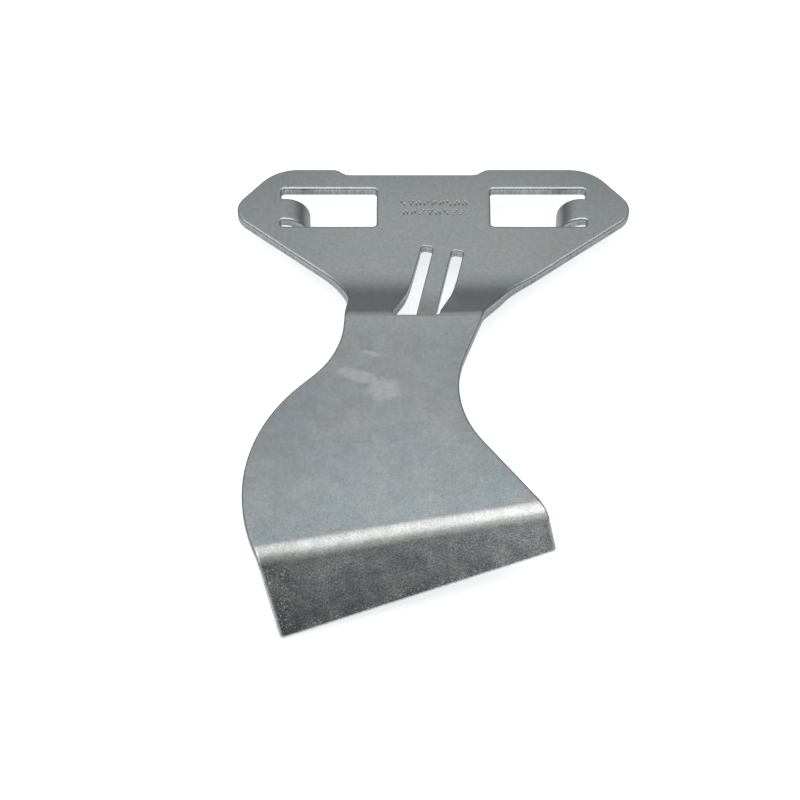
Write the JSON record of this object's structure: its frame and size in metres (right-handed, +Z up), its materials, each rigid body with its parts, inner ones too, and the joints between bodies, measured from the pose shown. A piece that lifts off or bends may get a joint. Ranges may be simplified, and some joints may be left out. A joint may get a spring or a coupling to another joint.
{
  "type": "hooked clamp bracket",
  "caption": "Pressed steel bracket: a wide head with curled-tab windows, a tongue in a slot, and a stepped blade ending in a slanted hook lip.",
  "frame": {"origin": "middle of the bounding box's underside, on the surface that the tab tips and the lip's long corner rest on", "axes": "+X to the right across the head, +Y from the hook lip towards the head's top edge, +Z up, square to the head plate"},
  "size_m": [0.1198, 0.1678, 0.0259],
  "materials": {
    "zinc_plated_steel": "satin zinc plating on pressed steel sheet, with a faint blue-grey mottle"
  },
  "bodies": {
    "root": {"bracket_plate": "zinc_plated_steel"}
  },
  "joints": []
}
